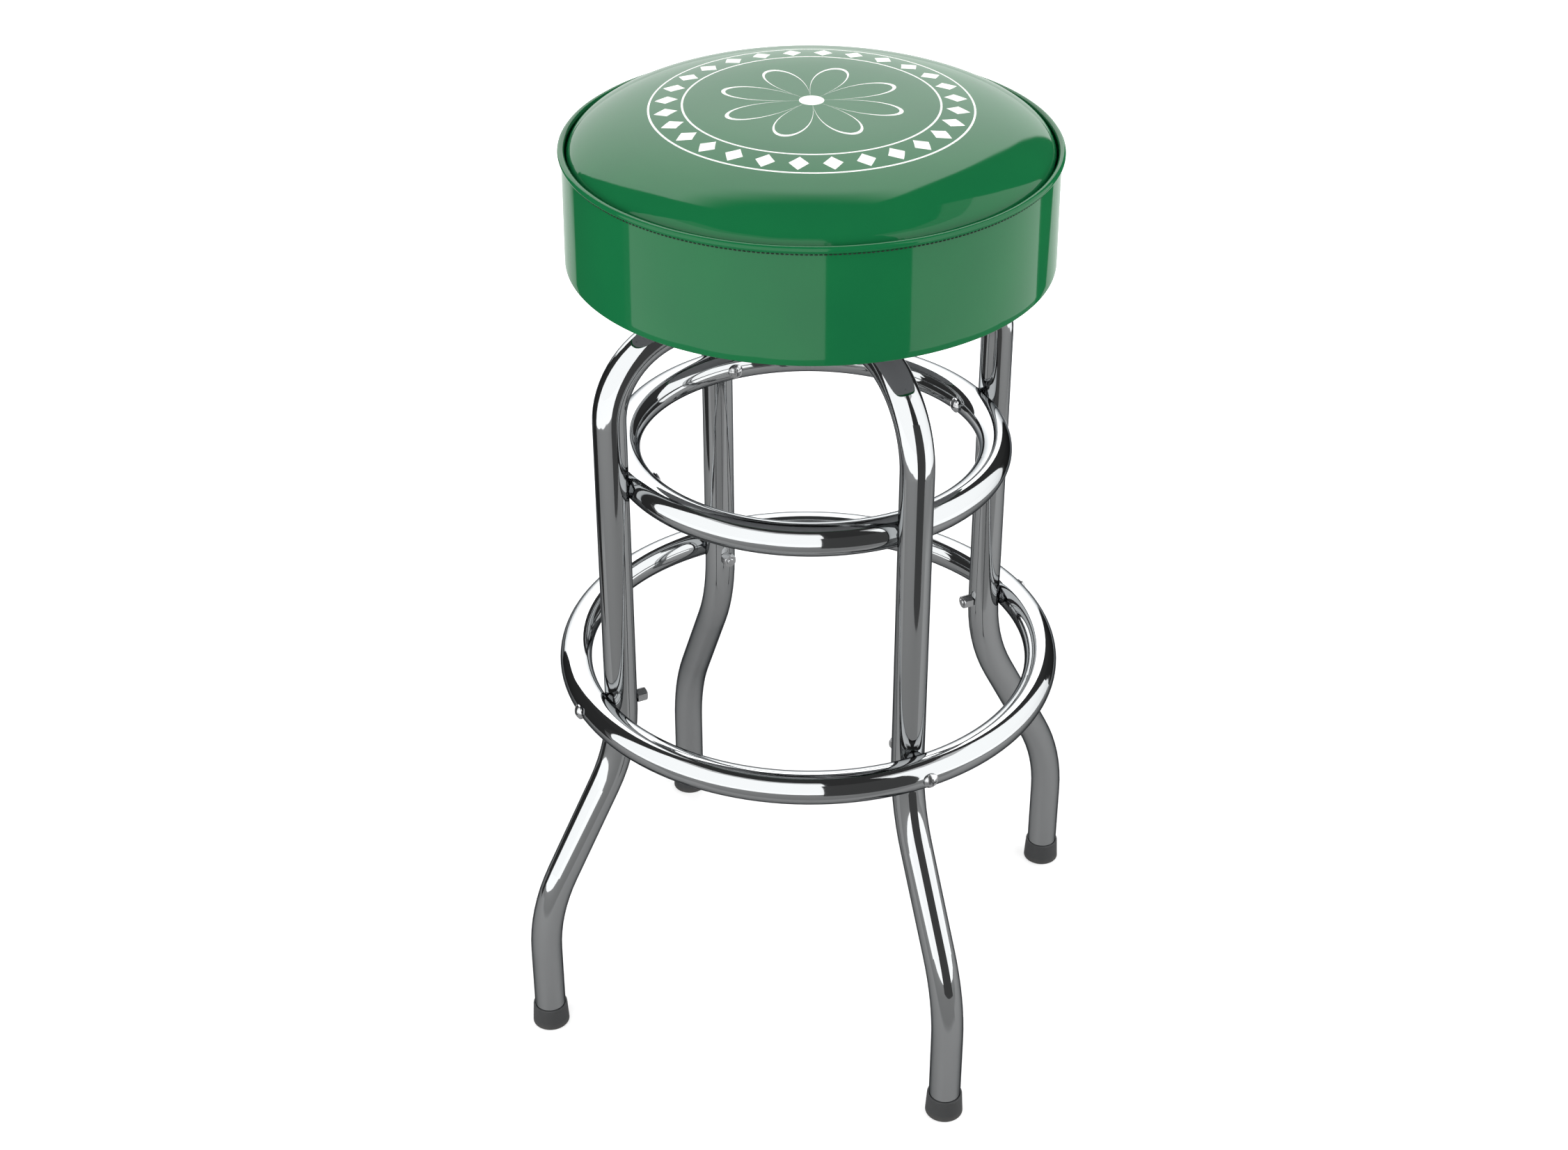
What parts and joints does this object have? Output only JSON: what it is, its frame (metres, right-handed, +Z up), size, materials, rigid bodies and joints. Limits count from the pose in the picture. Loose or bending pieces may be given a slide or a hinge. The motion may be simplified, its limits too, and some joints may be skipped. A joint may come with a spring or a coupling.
{
  "type": "bar stool",
  "caption": "Backless swivel bar stool: round padded seat with welt on chromed tube legs with a foot ring and a smaller upper ring, on rubber feet.",
  "frame": {"origin": "on the floor under the middle of the seat", "axes": "+Z up along the swivel axis, the legs on the diagonals of X and Y, front towards -Y"},
  "size_m": [0.4005, 0.4004, 0.7708],
  "materials": {
    "chrome_tube": "bright chrome plate on steel tube",
    "bright_fastener": "bright nickel plate",
    "zinc_hardware": "zinc plated",
    "swivel_black": "black enamel on pressed steel",
    "bearing_steel": "hardened and ground",
    "foot_rubber": "matt moulded rubber",
    "plywood": "bare plywood",
    "foam": "open cell foam",
    "green_vinyl": "glossy coated vinyl with a faint grain",
    "green_thread": "bonded polyester thread",
    "dust_cloth": "grey spunbond dust cloth"
  },
  "bodies": {
    "base": {"leg_frame_over": "chrome_tube", "leg_frame_under": "chrome_tube", "upper_ring": "chrome_tube", "foot_ring": "chrome_tube", "upper_ring_screws": "bright_fastener", "leg_inserts": "zinc_hardware", "foot_ring_bolts": "bright_fastener", "foot_ring_nuts": "bright_fastener", "foot_washers": "zinc_hardware", "swivel_lower_plate": "swivel_black", "swivel_lower_race": "swivel_black", "swivel_balls": "bearing_steel", "swivel_ball_cage": "zinc_hardware", "swivel_pivot_pin": "zinc_hardware", "swivel_pivot_washer": "zinc_hardware", "swivel_base_bolts": "zinc_hardware", "swivel_base_nuts": "zinc_hardware", "foot_back_right": "foot_rubber", "foot_back_left": "foot_rubber", "foot_front_left": "foot_rubber", "foot_front_right": "foot_rubber"},
    "seat": {"swivel_upper_race": "swivel_black", "swivel_upper_plate": "swivel_black", "seat_screws": "zinc_hardware", "seat_t_nuts": "zinc_hardware", "seat_board": "plywood", "seat_foam_pad": "foam", "seat_cover_top": "green_vinyl", "seat_cover_band": "green_vinyl", "seat_welt": "green_vinyl", "seat_stitching": "green_thread", "seat_dust_cover": "dust_cloth", "seat_staples": "zinc_hardware"}
  },
  "joints": [
    {"name": "seat_swivel", "type": "hinge", "parent": "base", "child": "seat", "pos_m": [0, 0, 0.642], "axis": [0, 0, 1], "continuous": true}
  ]
}
